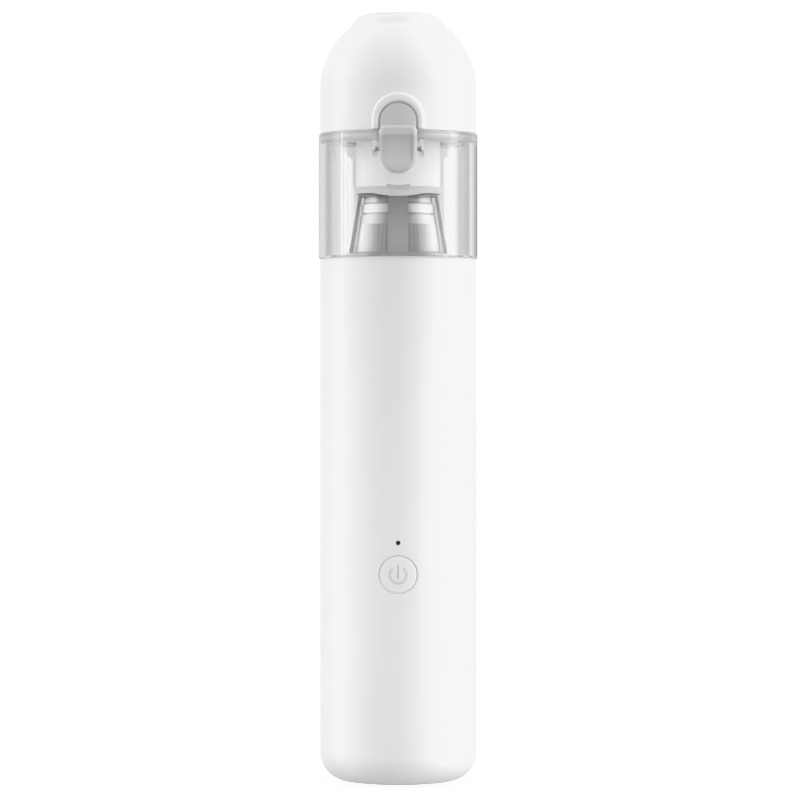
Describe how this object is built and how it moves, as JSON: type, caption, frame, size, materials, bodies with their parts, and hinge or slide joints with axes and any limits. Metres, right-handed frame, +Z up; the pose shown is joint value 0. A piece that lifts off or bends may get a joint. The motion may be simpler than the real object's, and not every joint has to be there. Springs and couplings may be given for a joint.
{
  "type": "handheld vacuum cleaner",
  "caption": "Slim upright cordless handheld vacuum: white tube body, clear dust cup, hinged white nozzle dome with grey latch, round power button.",
  "frame": {"origin": "centre of the foot's bottom face, on the tube's axis", "axes": "+Z up along the tube towards the nozzle mouth, front with the button and latch faces -Y, +X is right seen from the front"},
  "size_m": [0.0556, 0.0628, 0.2672],
  "materials": {
    "white_shell": "satin white moulded plastic",
    "white_liner": "smooth white moulded plastic",
    "clear_cup": "clear moulded plastic",
    "latch_grey": "satin grey moulded plastic",
    "gasket_grey": "soft grey seal",
    "grey_silicone": "soft grey silicone",
    "cage_grey": "glossy grey moulded plastic",
    "filter_paper": "pleated filter paper",
    "black_plastic": "black moulded plastic",
    "black_rubber": "black rubber",
    "foam": "open cell foam",
    "alu": "machined",
    "steel": "plain steel",
    "motor_steel": "plated steel",
    "copper": "enamelled copper",
    "wire_red": "wire insulation",
    "magnet": "sintered",
    "cell_wrap": "shrink sleeve",
    "nickel": "nickel plated",
    "pcb": "solder mask",
    "led_lens": "clear epoxy",
    "lens_dark": "smoked plastic"
  },
  "bodies": {
    "main_body": {"main_housing": "white_shell", "foot_pad": "black_rubber", "base_screws": "steel", "chassis": "black_plastic", "filter_deck": "black_plastic", "deck_screws": "steel", "exhaust_grille": "white_shell", "exhaust_filter": "foam", "motor_inlet_seal": "black_rubber", "fan_shroud": "alu", "bearing_upper": "steel", "bearing_lower": "steel", "diffuser": "black_plastic", "motor_can": "motor_steel", "stator_core": "motor_steel", "stator_coils": "copper", "motor_end_bell": "black_plastic", "motor_mount": "black_rubber", "driver_board": "pcb", "motor_leads": "wire_red", "battery_cells": "cell_wrap", "battery_holder_lower": "black_plastic", "battery_holder_upper": "black_plastic", "battery_tabs": "nickel", "battery_leads": "wire_red", "control_board": "pcb", "tact_switch": "black_plastic", "indicator_led": "led_lens", "indicator_lens": "lens_dark", "usb_socket": "nickel", "usb_board": "pcb"},
    "rotor": {"impeller": "alu", "motor_shaft": "steel", "rotor_magnet": "magnet"},
    "power_button": {"power_button": "white_shell"},
    "filter_unit": {"filter_base": "black_plastic", "filter_seal": "black_rubber", "filter_cage": "cage_grey", "filter_media": "filter_paper", "filter_collar": "white_liner"},
    "dust_cup": {"dust_cup": "clear_cup", "cup_seal": "black_rubber", "hinge_pin": "steel", "latch_pin": "steel", "latch_spring": "steel"},
    "latch_lever": {"latch_lever": "latch_grey"},
    "nozzle_lid": {"nozzle_dome": "white_shell", "inlet_duct": "white_liner", "lid_plate": "white_liner", "lid_gasket": "gasket_grey", "lid_screws": "steel"},
    "inlet_flap": {"inlet_flap": "grey_silicone"}
  },
  "joints": [
    {"name": "impeller_spin", "type": "hinge", "parent": "main_body", "child": "rotor", "pos_m": [0, 0, 0.13], "axis": [0, 0, 1], "continuous": true},
    {"name": "power_press", "type": "slide", "parent": "main_body", "child": "power_button", "axis": [0, 1, 0], "range_m": [0, 0.0008], "stiffness_N_per_m": 600, "springref_m": -0.001},
    {"name": "cup_twist", "type": "hinge", "parent": "main_body", "child": "filter_unit", "pos_m": [0, 0, 0.176], "axis": [0, 0, 1], "range_deg": [0, 30]},
    {"name": "cup_pull", "type": "slide", "parent": "filter_unit", "child": "dust_cup", "axis": [0, 0, 1], "range_m": [0, 0.06]},
    {"name": "lid_flip", "type": "hinge", "parent": "dust_cup", "child": "nozzle_lid", "pos_m": [0, 0.0299, 0.2256], "axis": [-1, 0, 0], "range_deg": [0, 100]},
    {"name": "latch_press", "type": "hinge", "parent": "dust_cup", "child": "latch_lever", "pos_m": [0, -0.0286, 0.2188], "axis": [1, 0, 0], "range_deg": [0, 7], "stiffness_Nm_per_rad": 0.13, "springref_deg": -5.73, "deforming": ["latch_spring"]},
    {"name": "flap_swing", "type": "hinge", "parent": "nozzle_lid", "child": "inlet_flap", "pos_m": [0, 0.016, 0.2216], "axis": [1, 0, 0], "range_deg": [0, 30], "stiffness_Nm_per_rad": 0.0002, "springref_deg": -11.46}
  ]
}
